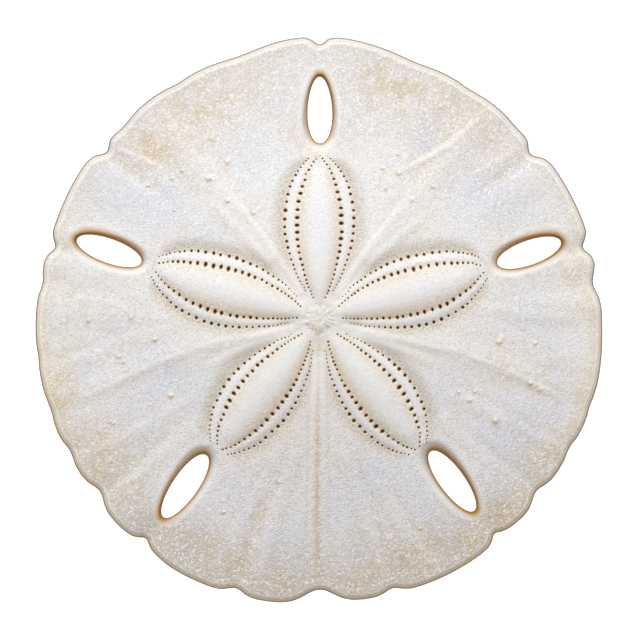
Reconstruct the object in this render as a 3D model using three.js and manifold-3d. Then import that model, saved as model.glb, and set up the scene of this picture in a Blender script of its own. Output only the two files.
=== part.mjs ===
// A sand dollar: the dry, bleached shell of a keyhole sand dollar with five slots.
//
// Millimetres, +Z up. The shell lies on its flat mouth side, so the petals face up. The origin is on
// the resting plane, under the middle of the outline, and +Y points to the front of the animal, along
// the single front petal. Angles are counted in degrees from +X, counter-clockwise seen from above.
//
// The shell grew as one piece of calcite, so it is one solid: a low dome with a thin scalloped margin,
// five raised petals on top, five slots (lunules) right through, and a mouth and a vent underneath.

import * as THREE from "three";
import { mergeVertices } from "three/addons/utils/BufferGeometryUtils.js";
import Module from "manifold-3d";

// Driving dimensions
const CROWN_HEIGHT = 9.8; // resting plane to the top of the dome, under the crown's button
const EDGE_THICKNESS = 2.7; // thickness just inside the rounded margin
const EDGE_ROUNDING = 1.4; // how far in from the margin the top edge starts to round over
const DOME_REACH = 45; // radius where the dome has come down to the edge thickness
const BASE_HOLLOW = 0.5; // how far the mouth side rises off the resting plane at its middle
const BASE_HOLLOW_REACH = 24; // radius where that rise starts

// Radius of the margin's crests, as [angle, radius]. The outline runs smoothly through them.
const MARGIN_CRESTS = [
  [0, 45], [25, 44.75], [50, 44.15], [62, 44.05], [74, 44.3], [85, 45.05], [95, 45.05], [104, 44.4],
  [114, 44.15], [128, 44.35], [149, 44.9], [160, 44.8], [169, 44.9], [183, 45.25], [194, 45.35],
  [203, 45.4], [213, 45.3], [226, 45.8], [241, 46], [258, 45.6], [270, 45.2], [280, 45.05],
  [297, 45.4], [315, 45.15], [328, 44.95], [339, 45.3], [348, 45.4],
];

// Dents in that outline, as [angle, depth, half width in degrees]. Narrow ones near 15, 90, 164, 231 and
// 309 degrees end the petals' axes, and the widest, at 270 degrees, is the rear of the animal.
const MARGIN_DENTS = [
  [7.7, 1.05, 2.6], [15.4, 1.5, 1.6], [38.2, 1.75, 2.0], [43.5, 0.45, 3.4], [57, 0.25, 2.6],
  [69.5, 0.35, 4.5], [90, 1.4, 1.4], [107, 0.35, 4.5], [121, 0.3, 2.6], [136, 0.7, 4.0],
  [141.7, 1.55, 1.8], [164.6, 1.3, 1.5], [172.3, 0.55, 2.0], [187.3, 0.2, 1.8], [198.5, 0.3, 2.4],
  [207.7, 0.55, 2.0], [218, 1.2, 2.6], [231.5, 1.0, 1.3], [232.5, 0.65, 4.0], [252.7, 1.1, 2.1],
  [270, 2.35, 4.2], [285.3, 0.95, 2.1], [309.3, 0.95, 1.2], [310.5, 0.5, 3.6], [321.6, 1.1, 2.5],
  [333, 0.45, 2.0], [342.6, 0.25, 1.8],
];

// Lunules: the middle (radius and angle), the direction of the long axis, the length and the width at
// the throat, and how much fuller the inner end is than the outer one.
const LUNULES = [
  { radius: 33.4, angle: 89.9, axis: 90.3, length: 10.7, width: 3.9, fuller: 0.13 },
  { radius: 35.2, angle: 161.8, axis: 160.2, length: 11.0, width: 3.8, fuller: 0.0 },
  { radius: 34.0, angle: 231.0, axis: 235.3, length: 12.1, width: 4.0, fuller: 0.05 },
  { radius: 33.2, angle: 309.5, axis: 306.4, length: 11.8, width: 3.9, fuller: 0.04 },
  { radius: 35.0, angle: 17.8, axis: 19.6, length: 10.8, width: 3.85, fuller: 0.0 },
];
const THROAT_HEIGHT = 1.3; // height of a lunule's narrowest section
const THROAT_FLARE = [-1.2, -0.05, 0.4, 1.3, 2.6, 4.2, 8]; // heights of a lunule's sections
const FLARE_SPREAD = 0.07; // how much the wall opens, in mm for each mm from the throat, squared
const LUNULE_SIDES = 28;

// Petals: direction and length of the axis, which starts a little out from the crown
const PETALS = [
  { axis: 90, length: 22.2 },
  { axis: 162.2, length: 24.0 },
  { axis: 231.9, length: 22.5 },
  { axis: 307.5, length: 22.3 },
  { axis: 17.5, length: 23.9 },
];
const PETAL_START = 3.3; // from the crown to the petal's inner end
const PETAL_HALF_WIDTH = 3.6; // to the inner row of pores
const PETAL_RISE = 0.26; // of the middle of a petal over the dome, as a share of its half width
const MOAT_OFFSET = 2.6; // from the inner row to the lowest line of the moat around a petal
const MOAT_DEPTH = 0.4;
const MOAT_WIDTH = 1.2;

const BUTTON_RADIUS = 2; // of the small raised button at the crown
const BUTTON_RISE = 0.2;

const MOUTH = { x: 0, y: 0.6, length: 4.8, width: 4.8, depth: 2.6 };
const VENT = { x: 0, y: -9.2, length: 2.4, width: 1.7, depth: 1.4 };

// How the disc is divided: columns round the margin, and rings as shares of the margin's radius
const COLUMNS = 184;
const DENT_CROWDING = 3; // how much closer columns stand in a narrow dent
const TOP_RINGS = [0.04, 0.08, 0.17, 0.26, 0.35, 0.44, 0.53, 0.62, 0.75, 0.88];
const BASE_RINGS = [0.72, 0.53, 0.3];
const EDGE_RINGS = [
  // inset from the margin, and height as a share of the edge thickness
  [EDGE_ROUNDING, 1],
  [0.42, 0.83],
  [0, 0.48],
  [0.36, 0.14],
  [1.1, 0],
];

const radians = THREE.MathUtils.degToRad;
const bell = (x) => Math.exp(-x * x);
const angleBetween = (a, b) => THREE.MathUtils.euclideanModulo(a - b + 180, 360) - 180;

// Radius of the crest line at an angle, by a cubic through the four nearest crests.
function crestRadius(angle) {
  const count = MARGIN_CRESTS.length;
  const crest = (i) => {
    const [a, r] = MARGIN_CRESTS[THREE.MathUtils.euclideanModulo(i, count)];
    return new THREE.Vector2(a + 360 * Math.floor(i / count), r);
  };
  const turned = THREE.MathUtils.euclideanModulo(angle, 360);
  const next = MARGIN_CRESTS.findIndex(([a]) => a > turned);
  const after = next < 0 ? count : next;
  const [before, from, to, beyond] = [-2, -1, 0, 1].map((step) => crest(after + step));
  const t = (turned - from.x) / (to.x - from.x);
  const slopeFrom = ((to.y - before.y) / (to.x - before.x)) * (to.x - from.x);
  const slopeTo = ((beyond.y - from.y) / (beyond.x - from.x)) * (to.x - from.x);
  return (
    from.y * (1 + 2 * t) * (1 - t) ** 2 +
    to.y * t * t * (3 - 2 * t) +
    slopeFrom * t * (1 - t) ** 2 -
    slopeTo * t * t * (1 - t)
  );
}

function marginRadius(angle) {
  const dent = ([at, depth, width]) => depth * bell(angleBetween(angle, at) / width);
  return crestRadius(angle) - MARGIN_DENTS.reduce((sum, d) => sum + dent(d), 0);
}

// Angles of the columns, which stand closer together where the margin has a narrow dent.
function columnAngles() {
  const crowding = ([at, depth, width], angle) =>
    (DENT_CROWDING * Math.min(depth, 1) * bell(angleBetween(angle, at) / (1.3 * width))) / width;
  const density = (angle) => 1 + MARGIN_DENTS.reduce((sum, d) => sum + crowding(d, angle), 0);
  const step = 0.25;
  const reached = [0];
  for (let angle = 0; angle < 360; angle += step) {
    reached.push(reached.at(-1) + density(angle + step / 2));
  }
  return Array.from({ length: COLUMNS }, (_, column) => {
    const wanted = (reached.at(-1) * column) / COLUMNS;
    const i = reached.findIndex((sum) => sum > wanted);
    return (i - 1 + (wanted - reached[i - 1]) / (reached[i] - reached[i - 1])) * step;
  });
}

// Half width of a petal, out to its inner row of pores, at a share of its length.
function petalHalfWidth(share) {
  if (share <= 0 || share >= 1) return 0;
  const fullness = 1 - 0.4 * THREE.MathUtils.smoothstep(share, 0.3, 1);
  return PETAL_HALF_WIDTH * Math.sin(Math.PI * (0.08 + 0.89 * share)) ** fullness;
}

// Height that one petal adds to the dome: a crowned middle inside a shallow moat.
function petalRelief({ axis, length }, x, y) {
  const [cos, sin] = [Math.cos(radians(axis)), Math.sin(radians(axis))];
  const along = x * cos + y * sin - PETAL_START;
  const across = Math.abs(y * cos - x * sin);
  const share = along / length;
  const half = petalHalfWidth(share);
  if (half === 0) return 0;
  const opening = THREE.MathUtils.smoothstep(share, 0, 0.15);
  const closing = THREE.MathUtils.smoothstep(share, 0.85, 1);
  const fade = opening * (1 - closing);
  const crown = PETAL_RISE * half * Math.max(0, 1 - (across / half) ** 2);
  const moat = MOAT_DEPTH * bell((across - half - MOAT_OFFSET) / MOAT_WIDTH);
  return fade * (crown - moat);
}

function topHeight(x, y) {
  const away = Math.hypot(x, y);
  const share = Math.min(1, away / DOME_REACH);
  const dome = (CROWN_HEIGHT - EDGE_THICKNESS) * Math.cos((Math.PI / 2) * share) ** 1.5;
  const button = BUTTON_RISE * bell((away / BUTTON_RADIUS) ** 3);
  const petals = PETALS.reduce((sum, petal) => sum + petalRelief(petal, x, y), 0);
  return EDGE_THICKNESS + dome + button + petals;
}

function baseHeight(x, y) {
  const share = Math.min(1, Math.hypot(x, y) / BASE_HOLLOW_REACH);
  return BASE_HOLLOW * (1 - share * share) ** 2;
}

// One column of the disc, from the crown over the margin to the middle of the mouth side.
function columnPoints(angle) {
  const margin = marginRadius(angle);
  const [cos, sin] = [Math.cos(radians(angle)), Math.sin(radians(angle))];
  const at = (radius, height) => {
    const [x, y] = [radius * cos, radius * sin];
    return new THREE.Vector3(x, y, height(x, y));
  };
  return [
    ...[0, ...TOP_RINGS].map((share) => at(share * margin, topHeight)),
    ...EDGE_RINGS.map(([inset, share]) => at(margin - inset, () => share * EDGE_THICKNESS)),
    ...[...BASE_RINGS, 0].map((share) => at(share * margin, baseHeight)),
  ];
}

// A lathe profile of count rings that starts and ends on the axis, to be moved to its final place.
function plainProfile(count) {
  const radius = (i) => (i === 0 || i === count - 1 ? 0 : 1);
  return Array.from({ length: count }, (_, i) => new THREE.Vector2(radius(i), i));
}

// The disc: a lathe's closed surface, with each of its columns moved onto the outline of the shell.
function discGeometry() {
  const rings = TOP_RINGS.length + EDGE_RINGS.length + BASE_RINGS.length + 2;
  const geometry = new THREE.LatheGeometry(plainProfile(rings), COLUMNS);
  const columns = columnAngles().map(columnPoints);
  const position = geometry.getAttribute("position");
  for (let i = 0; i < position.count; i++) {
    const point = columns[Math.floor(i / rings) % COLUMNS][i % rings];
    position.setXYZ(i, point.x, point.y, point.z);
  }
  return geometry;
}

// A cutter of oval section: [height, spread] pairs, where spread widens the section all round.
function ovalCutter(sections, length, width, fuller = 0) {
  const count = sections.length + 2;
  const geometry = new THREE.LatheGeometry(plainProfile(count), LUNULE_SIDES);
  const position = geometry.getAttribute("position");
  for (let i = 0; i < position.count; i++) {
    const turn = (2 * Math.PI * Math.floor(i / count)) / LUNULE_SIDES;
    const [height, spread] = sections[THREE.MathUtils.clamp((i % count) - 1, 0, sections.length - 1)];
    const onAxis = i % count === 0 || i % count === count - 1;
    const x = (length / 2 + spread) * Math.cos(turn);
    const y = (width / 2 + spread) * Math.sin(turn) * (1 - fuller * Math.cos(turn));
    position.setXYZ(i, onAxis ? 0 : x, onAxis ? 0 : y, height);
  }
  return geometry;
}

function lunuleCutter({ radius, angle, axis, length, width, fuller }) {
  const sections = THROAT_FLARE.map((z) => [z, Math.min(2.2, FLARE_SPREAD * (z - THROAT_HEIGHT) ** 2)]);
  return ovalCutter(sections, length, width, fuller)
    .rotateZ(radians(axis))
    .translate(radius * Math.cos(radians(angle)), radius * Math.sin(radians(angle)), 0);
}

// A blind recess in the mouth side, with a rounded roof.
function recessCutter({ x, y, length, width, depth }) {
  const sections = [
    [-1, 0],
    [0.7 * depth, -0.1],
    [0.93 * depth, -0.35 * (width / 2)],
    [depth, -0.8 * (width / 2)],
  ];
  return ovalCutter(sections, length, width).rotateZ(Math.PI / 2).translate(x, y, 0);
}

const wasm = await Module();
wasm.setup();

// A closed geometry as a manifold-3d solid with its faces out, leaving out faces that have no area.
function solidOf(geometry) {
  geometry.deleteAttribute("normal");
  geometry.deleteAttribute("uv");
  const merged = mergeVertices(geometry, 1e-4);
  const corners = [];
  for (let i = 0; i < merged.index.count; i += 3) {
    const [a, b, c] = [0, 1, 2].map((k) => merged.index.getX(i + k));
    if (a !== b && b !== c && c !== a) corners.push(a, b, c);
  }
  const facing = (order) =>
    new wasm.Manifold(
      new wasm.Mesh({
        numProp: 3,
        vertProperties: merged.attributes.position.array,
        triVerts: new Uint32Array(order),
      }),
    );
  const solid = facing(corners);
  return solid.volume() > 0 ? solid : facing(corners.reverse());
}

function geometryOf(solid) {
  const mesh = solid.getMesh();
  const geometry = new THREE.BufferGeometry();
  geometry.setAttribute("position", new THREE.BufferAttribute(mesh.vertProperties, mesh.numProp));
  geometry.setIndex(new THREE.BufferAttribute(mesh.triVerts, 1));
  geometry.computeVertexNormals();
  return geometry;
}

const bleachedCalcite = new THREE.MeshStandardMaterial({ color: 0xe9e4dc, roughness: 0.82, metalness: 0 });

function makeShell() {
  const cutters = [...LUNULES.map(lunuleCutter), recessCutter(MOUTH), recessCutter(VENT)];
  const solid = cutters.reduce((left, cutter) => left.subtract(solidOf(cutter)), solidOf(discGeometry()));
  const shell = new THREE.Mesh(geometryOf(solid), bleachedCalcite);
  shell.name = "shell";
  return shell;
}

const sandDollar = new THREE.Group();
sandDollar.add(makeShell());
export default sandDollar;
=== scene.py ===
"""The looks of the sand dollar: its petal side, margin, slots and mouth side as one piece.

Lengths are millimetres in the CAD's frame (+Z up, +Y to the front of the animal). The mesh itself, the
floor, the light and the camera are in metres. The outline and the slots are read from the CAD node, so
the two always agree.
"""

import math

import bmesh
import bpy
import numpy as np
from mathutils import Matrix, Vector
from mathutils.geometry import delaunay_2d_cdt


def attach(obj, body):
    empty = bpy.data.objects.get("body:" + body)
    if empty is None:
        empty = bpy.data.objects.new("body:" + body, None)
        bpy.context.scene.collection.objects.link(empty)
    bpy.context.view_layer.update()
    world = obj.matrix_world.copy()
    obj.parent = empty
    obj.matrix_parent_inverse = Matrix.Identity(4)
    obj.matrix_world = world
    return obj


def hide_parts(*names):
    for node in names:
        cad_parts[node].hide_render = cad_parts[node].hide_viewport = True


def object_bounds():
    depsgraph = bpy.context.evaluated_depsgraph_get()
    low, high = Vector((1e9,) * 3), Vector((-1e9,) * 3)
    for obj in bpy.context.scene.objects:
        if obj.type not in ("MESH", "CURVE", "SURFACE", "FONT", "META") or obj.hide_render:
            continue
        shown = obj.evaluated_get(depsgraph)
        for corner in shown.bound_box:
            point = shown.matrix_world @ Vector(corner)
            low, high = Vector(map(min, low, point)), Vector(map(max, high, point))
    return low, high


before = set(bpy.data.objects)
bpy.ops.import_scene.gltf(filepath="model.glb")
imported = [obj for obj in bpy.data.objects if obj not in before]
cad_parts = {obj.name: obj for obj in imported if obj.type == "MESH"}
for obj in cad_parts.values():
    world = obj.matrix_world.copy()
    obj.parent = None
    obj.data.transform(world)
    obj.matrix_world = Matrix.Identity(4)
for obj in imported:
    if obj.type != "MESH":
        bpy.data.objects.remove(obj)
cad_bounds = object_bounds()

MM = 0.001
rng = np.random.default_rng(12)

# The dome and its rim, as in the CAD
CROWN_HEIGHT = 9.8
EDGE_THICKNESS = 2.7
DOME_REACH = 45.0
WIDEST_HEIGHT = 1.3  # where the margin is widest and the slots are narrowest
EDGE_ROUNDING = 1.5
BASE_ROUNDING = 1.1
WALL_FLARE = 0.07  # how much a slot's wall opens, in mm for each mm of height, squared
MEAN_RADIUS = 45.2
DENT_SINK = 0.32  # how far the top sinks towards a dent, for each mm that the margin is drawn in

# Half width of a petal at distances from the crown, at its inner and outer rows of pores
INNER_ROW = [(3.5, 0.95), (4.6, 1.43), (6.4, 2.1), (9.1, 2.81), (11.1, 3.23), (13.5, 3.48),
             (16, 3.5), (18.6, 3.28), (21.1, 2.67), (23.2, 1.97), (24.6, 1.16), (25.5, 0.46)]
OUTER_ROW = [(4.5, 2.2), (5.4, 2.64), (6.8, 3.42), (9.1, 4.28), (11.1, 4.88), (13.5, 5.33),
             (16.1, 5.49), (18.6, 5.2), (21.1, 4.63), (22.9, 3.78), (24.3, 2.86), (25.6, 1.64)]
ROW_END = 25.5
# Petals as (direction of the axis, distance of the tip, width against the rows above, bow, sway):
# bow bends the middle of a petal to its left, seen from the crown, and sway bends it into an S.
PETALS = [(90, 25.5, 1, 0.03, 0), (162.2, 27.3, 1, 0.1, -0.28), (231.9, 25.7, 0.98, 0, 0.1),
          (307.5, 25.5, 0.98, 0, -0.1), (17.5, 27.2, 1, -0.1, 0.28)]
# Pores as (distance from the crown, pitch, length across the row, length along it)
INNER_PORES = [(3.5, 0.58, 0.25, 0.25), (6, 0.66, 0.28, 0.27), (8.5, 0.95, 0.38, 0.34),
               (12, 1.1, 0.52, 0.4), (16, 1.28, 0.68, 0.43), (20, 1.2, 0.62, 0.4),
               (23, 0.85, 0.36, 0.32), (25.5, 0.55, 0.24, 0.24)]
OUTER_PORES = [(4.5, 0.55, 0.17, 0.17), (7, 0.7, 0.26, 0.24), (9, 0.95, 0.32, 0.3),
               (12, 1.1, 0.43, 0.39), (16, 1.28, 0.5, 0.43), (20, 1.2, 0.46, 0.4),
               (23, 0.8, 0.32, 0.3), (25.6, 0.5, 0.2, 0.2)]
PORE_RADIUS = 0.58  # of the pit, as a share of the length of the whole pore


def bell(x):
    return np.exp(-np.square(x))


def ramp(x, low, high):
    """Smoothly from 0 at low to 1 at high."""
    t = np.clip((x - low) / (high - low), 0, 1)
    return t * t * (3 - 2 * t)


def soft_min(a, b, blend):
    """The lesser of a and b, with the corner between them rounded over about blend mm."""
    low = np.minimum(a, b)
    return low - blend * np.log(np.exp((low - a) / blend) + np.exp((low - b) / blend))


def curve(points, count=240):
    """A smooth line of count points through the given ones."""
    p = np.array(points, float)
    slope = np.gradient(p, axis=0)
    at = np.linspace(0, len(p) - 1, count)
    i = np.minimum(at.astype(int), len(p) - 2)
    t = (at - i)[:, None]
    return (
        p[i] * (1 + 2 * t) * (1 - t) ** 2
        + p[i + 1] * t * t * (3 - 2 * t)
        + slope[i] * t * (1 - t) ** 2
        - slope[i + 1] * t * t * (1 - t)
    )


# --- The outline and slots, from the CAD ---------------------------------------------------------


def cad_loops(height):
    """The closed lines in which the CAD node is cut by a level plane, the margin's first."""
    bm = bmesh.new()
    bm.from_mesh(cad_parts["shell"].data)
    bmesh.ops.remove_doubles(bm, verts=bm.verts, dist=0.002 * MM)
    cut = bmesh.ops.bisect_plane(
        bm,
        geom=[*bm.verts, *bm.edges, *bm.faces],
        dist=1e-8,
        plane_co=(0, 0, height * MM),
        plane_no=(0, 0, 1),
    )["geom_cut"]
    neighbours = {}
    for edge in (e for e in cut if isinstance(e, bmesh.types.BMEdge)):
        a, b = edge.verts
        neighbours.setdefault(a, []).append(b)
        neighbours.setdefault(b, []).append(a)
    loops = []
    while neighbours:
        here = next(iter(neighbours))
        loop = []
        while here in neighbours:
            loop.append(here.co.xy[:])
            here = next((v for v in neighbours.pop(here) if v in neighbours), None)
        loops.append(np.array(loop) / MM)
    bm.free()
    return sorted(loops, key=lambda loop: -np.ptp(loop[:, 0]))


def smooth_loop(loop, softness, step):
    """A closed line with its corners rounded, counter-clockwise, in equal steps."""
    fine = 0.08
    ends = np.vstack([loop, loop[:1]])
    reached = np.concatenate([[0], np.cumsum(np.linalg.norm(np.diff(ends, axis=0), axis=1))])
    count = int(reached[-1] / fine)
    at = np.linspace(0, reached[-1], count, endpoint=False)
    even = np.interp(at, reached, ends[:, 0]) + 1j * np.interp(at, reached, ends[:, 1])
    frequency = np.fft.fftfreq(count, reached[-1] / count)
    even = np.fft.ifft(np.fft.fft(even) * np.exp(-2 * (math.pi * frequency * softness) ** 2))
    turning = np.sum(even.real * np.roll(even.imag, -1) - np.roll(even.real, -1) * even.imag)
    if turning < 0:
        even = even[::-1]
    keep = np.linspace(0, count, round(reached[-1] / step), endpoint=False).astype(int)
    return np.stack([even[keep].real, even[keep].imag], axis=1)


def distance_to(loop, points, reach):
    """Distance of each point to a closed line, exact up to reach mm."""
    found = np.full(len(points), float(reach))
    low, high = loop.min(0), loop.max(0)
    close = np.flatnonzero(np.all((points > low - reach) & (points < high + reach), axis=1))
    start, along = loop, np.roll(loop, -1, axis=0) - loop
    length2 = np.sum(along**2, axis=1)
    for part in np.array_split(close, max(1, len(close) // 4000)):
        offset = points[part][:, None] - start[None]
        t = np.clip(np.sum(offset * along, axis=2) / length2, 0, 1)
        gap = offset - t[..., None] * along
        found[part] = np.minimum(found[part], np.sqrt(np.sum(gap**2, axis=2).min(axis=1)))
    return found


def inside(loop, points):
    """Whether each point is inside a closed line."""
    found = np.zeros(len(points), bool)
    close = np.flatnonzero(np.all((points > loop.min(0)) & (points < loop.max(0)), axis=1))
    a, b = loop, np.roll(loop, -1, axis=0)
    for part in np.array_split(close, max(1, len(close) // 4000)):
        x, y = points[part, 0][:, None], points[part, 1][:, None]
        crosses = (a[:, 1] > y) != (b[:, 1] > y)
        run = (b[:, 0] - a[:, 0]) * (y - a[:, 1])
        rise = np.where(b[:, 1] == a[:, 1], 1, b[:, 1] - a[:, 1])
        found[part] = np.sum(crosses & (x < a[:, 0] + run / rise), axis=1) % 2 == 1
    return found


# The mouth and the vent are cut too, but they are blind and lie nearer the middle than the slots do.
outline, *cuts = cad_loops(WIDEST_HEIGHT)
margin = smooth_loop(outline, 0.3, 0.3) * 0.9995
slots = [smooth_loop(cut, 0.25, 0.28) for cut in cuts if np.hypot(*cut.mean(0)) > 20]

# --- Petals --------------------------------------------------------------------------------------


class Petal:
    """One petal: its rows of pores, and its own coordinates (along the axis, across it)."""

    def __init__(self, direction, tip, width, bow, sway):
        turn = math.radians(direction)
        self.along = np.array([math.cos(turn), math.sin(turn)])
        self.across = np.array([-math.sin(turn), math.cos(turn)])
        self.tip, self.bow, self.sway = tip, bow, sway
        self.inner, self.outer = (self.row(points, width) for points in (INNER_ROW, OUTER_ROW))

    def row(self, points, width):
        """A row as (distance along the axis, half width), and the standard distance of each."""
        standard = curve(points)
        longer = 1 + (self.tip / ROW_END - 1) * np.clip((standard[:, 0] - 4) / 21.5, 0, 1)
        return standard[:, 0] * longer, standard[:, 1] * width, standard[:, 0]

    def bend(self, u):
        share = np.clip(u / self.tip, 0, 1)
        return self.bow * np.sin(math.pi * share) + self.sway * np.sin(2 * math.pi * share)

    def local(self, xy):
        u = xy @ self.along
        return u, xy @ self.across - self.bend(u)

    def place(self, u, v):
        return u * self.along + (v + self.bend(u)) * self.across

    def half_widths(self, u):
        rows = (self.inner, self.outer)
        return [np.interp(u, [0, *far], [0, *half], right=0) for far, half, _ in rows]

    def pores(self):
        """Centres, and radii across and along the row, of all pores of the petal."""
        found = []
        for row, sizes in ((self.inner, INNER_PORES), (self.outer, OUTER_PORES)):
            far, half, standard = row
            walked = np.concatenate([[0], np.cumsum(np.hypot(np.diff(far), np.diff(half)))])
            at, pitch, wide, long = np.array(sizes).T
            for side in (-1, 1):
                s = 0.1 * rng.random()
                while s < walked[-1]:
                    here = np.interp(s, walked, standard)
                    u, v = np.interp(s, walked, far), side * np.interp(s, walked, half)
                    size = rng.normal(1, 0.09)
                    wobble = rng.normal(0, 0.035, 2)
                    centre = self.place(u + wobble[0], v + wobble[1])
                    lengths = np.array([np.interp(here, at, wide), np.interp(here, at, long)])
                    found.append((*centre, *(PORE_RADIUS * size * lengths)))
                    s += np.interp(here, at, pitch) * rng.normal(1, 0.05)
        return np.array(found)


petals = [Petal(*petal) for petal in PETALS]

# --- Relief of the petal side ----------------------------------------------------------------------

# Ridges as (points, half width, height). Those between the petals start beside the crown.
RIDGES = [
    ([(-2.6, 3.6), (-6.2, 9.4), (-11, 16), (-15, 21)], 0.55, 0.17),
    ([(-3.2, 3.1), (-8, 9), (-13.6, 15.2), (-19, 20.5)], 0.6, 0.17),
    ([(2.6, 3.6), (6.2, 9.2), (10.6, 15), (14.5, 20)], 0.55, 0.17),
    ([(3.2, 3.1), (8, 8.6), (13.4, 13.8), (19.5, 19)], 0.6, 0.17),
    ([(-3.4, -0.9), (-9, -2.2), (-15.5, -3.3), (-20.9, -5)], 0.5, 0.17),
    ([(-3.3, -1.4), (-9, -3.6), (-14.5, -5.6), (-19.5, -8.2)], 0.6, 0.15),
    ([(3.4, -0.9), (9, -2.1), (16, -3.8), (23.6, -5.6)], 0.5, 0.17),
    ([(3.3, -1.4), (9, -3.4), (15.5, -5.6), (21, -8.4)], 0.6, 0.15),
    ([(-0.7, -3.4), (-0.9, -12), (-1.3, -28), (-1.35, -43)], 0.42, 0.12),
    ([(0.5, -3.4), (0.5, -12), (0.7, -28), (0.75, -43)], 0.42, 0.12),
    ([(-20.9, -5), (-26, -7), (-30, -8.8), (-39.8, -13.5)], 0.5, 0.08),
    ([(23.6, -5.6), (29.9, -8.2), (35.5, -10.8), (40.9, -13.5)], 0.5, 0.08),
    ([(-6, -1.7), (-16, -3.4), (-28, -7.2), (-42, -13.5)], 1.7, 0.26),
    ([(6, -1.6), (16, -3.2), (28, -6.6), (42, -13)], 1.7, 0.26),
    ([(-3.6, -20), (-6.8, -30), (-9, -38), (-10, -43)], 0.9, 0.12),
    ([(3.8, -20), (7, -30), (9.6, -38), (11, -43)], 0.9, 0.12),
    ([(-8.5, -25), (-12.5, -32), (-16, -38), (-18, -41)], 0.9, 0.1),
    ([(9, -25), (13, -32), (17, -37.5), (19, -40.5)], 0.9, 0.1),
    ([(-19, -11.5), (-27, -16.5), (-34, -20), (-40, -23)], 1, 0.12),
    ([(20, -11), (28, -15), (35, -18.5), (41, -21.5)], 1, 0.12),
    ([(-18, -15), (-25, -21), (-31, -26), (-35, -29.5)], 0.9, 0.1),
    ([(19, -15), (26, -21), (32, -25.5), (36, -29)], 0.9, 0.1),
    ([(-24, -1.5), (-31, -3), (-37, -5.5), (-43, -7.5)], 0.9, 0.1),
    ([(23, 2.5), (30, 1.5), (37, 0.5), (43, 0)], 0.9, 0.1),
    ([(7, 8.5), (13, 16.5), (22, 27), (28, 35)], 1.8, 0.25),
    ([(-7, 8.5), (-13, 17), (-21, 26), (-28, 34)], 1.8, 0.22),
    ([(13.6, 24), (17.5, 26), (21.4, 28.5), (26.9, 33.5)], 0.5, 0.13),
    ([(23.8, 22.9), (28, 25.2), (32.4, 27.6)], 0.3, 0.08),
    ([(-25.9, 24.6), (-29, 26), (-32.5, 27.6)], 0.3, 0.1),
]
# Bumps as (x, y, half width, height)
BUMPS = [
    (-17.5, 22.5, 0.62, 0.5), (-17.1, 28.8, 0.4, 0.25), (-14.5, 25.2, 0.45, 0.32),
    (-21.7, 23.7, 0.4, 0.28), (-23.4, 22.5, 0.35, 0.22), (-27.1, 21.4, 0.4, 0.28),
    (-14.4, 18.9, 0.4, 0.25), (-10.4, 17, 0.4, 0.26), (-22.9, 17.4, 0.3, 0.16),
    (12.6, 23.3, 0.48, 0.34), (10, 24.1, 0.38, 0.24), (18, 21.1, 0.35, 0.22),
    (14.7, 19, 0.38, 0.26), (10.6, 20.8, 0.3, 0.18), (12.6, 26.2, 0.3, 0.16),
    (-29.8, 0.5, 0.5, 0.26), (-36.5, 0, 0.45, 0.22), (-26, -3, 0.5, 0.3),
    (-23.4, -11.9, 0.5, 0.34), (-32.7, -16.3, 0.4, 0.22), (-15.2, -30.4, 0.42, 0.26),
    (-6.4, -25.6, 0.4, 0.24), (28.5, -3.4, 0.55, 0.36), (34.3, -3.6, 0.4, 0.26),
    (27.9, -15.9, 0.55, 0.36), (23.8, -12.7, 0.4, 0.26), (24.6, -11.3, 0.35, 0.22),
    (22.1, -11.3, 0.35, 0.22), (33.4, -10, 0.45, 0.3), (35.1, -11, 0.4, 0.24),
    (15.9, -33, 0.38, 0.24), (-31.8, -5.7, 0.5, 0.2), (-31, -6.6, 0.35, 0.18),
]
# Lines of small beads
BEADED = [
    [(-12.1, -3.6), (-20.9, -5), (-26, -7), (-30, -8.8), (-39.8, -13.5)],
    [(16.1, -3.8), (23.6, -5.6), (29.9, -8.2), (35.5, -10.8), (40.9, -13.5)],
    [(13.6, 24), (17.5, 26), (21.4, 28.5), (26.9, 33.5)],
    [(18, 15.5), (23, 18.5), (28, 22)],
    [(-22.5, 23), (-25.9, 24.6), (-29, 26), (-32.5, 27.6)],
    [(-39, 3.5), (-34, 3), (-29, 1), (-24, 0.3)],
    [(0.1, -22), (0.2, -30), (0.1, -36)],
]
# Patches of small crowded bumps as (x, y, half width, number)
ROUGH_PATCHES = [
    (-34.1, -21.5, 2.6, 30), (35.1, -21.7, 2.2, 20), (-41, -12.2, 1.6, 12), (-11.5, -36.1, 1.8, 14),
    (-9.1, -30.2, 1.5, 14), (6.8, -34.3, 2.2, 18), (12.3, -35, 1.8, 14), (15.8, -38.3, 2.4, 22),
    (-21, 37, 5, 50), (21, 34, 7, 60), (-33, 1, 4, 12), (-38, -3, 3, 12), (30, -8, 3, 14),
    (-30, -26, 3, 16), (-28, 28, 3, 20), (0, -38, 5, 26), (36, -8, 4, 18), (28, 28, 3, 8),
]


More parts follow.
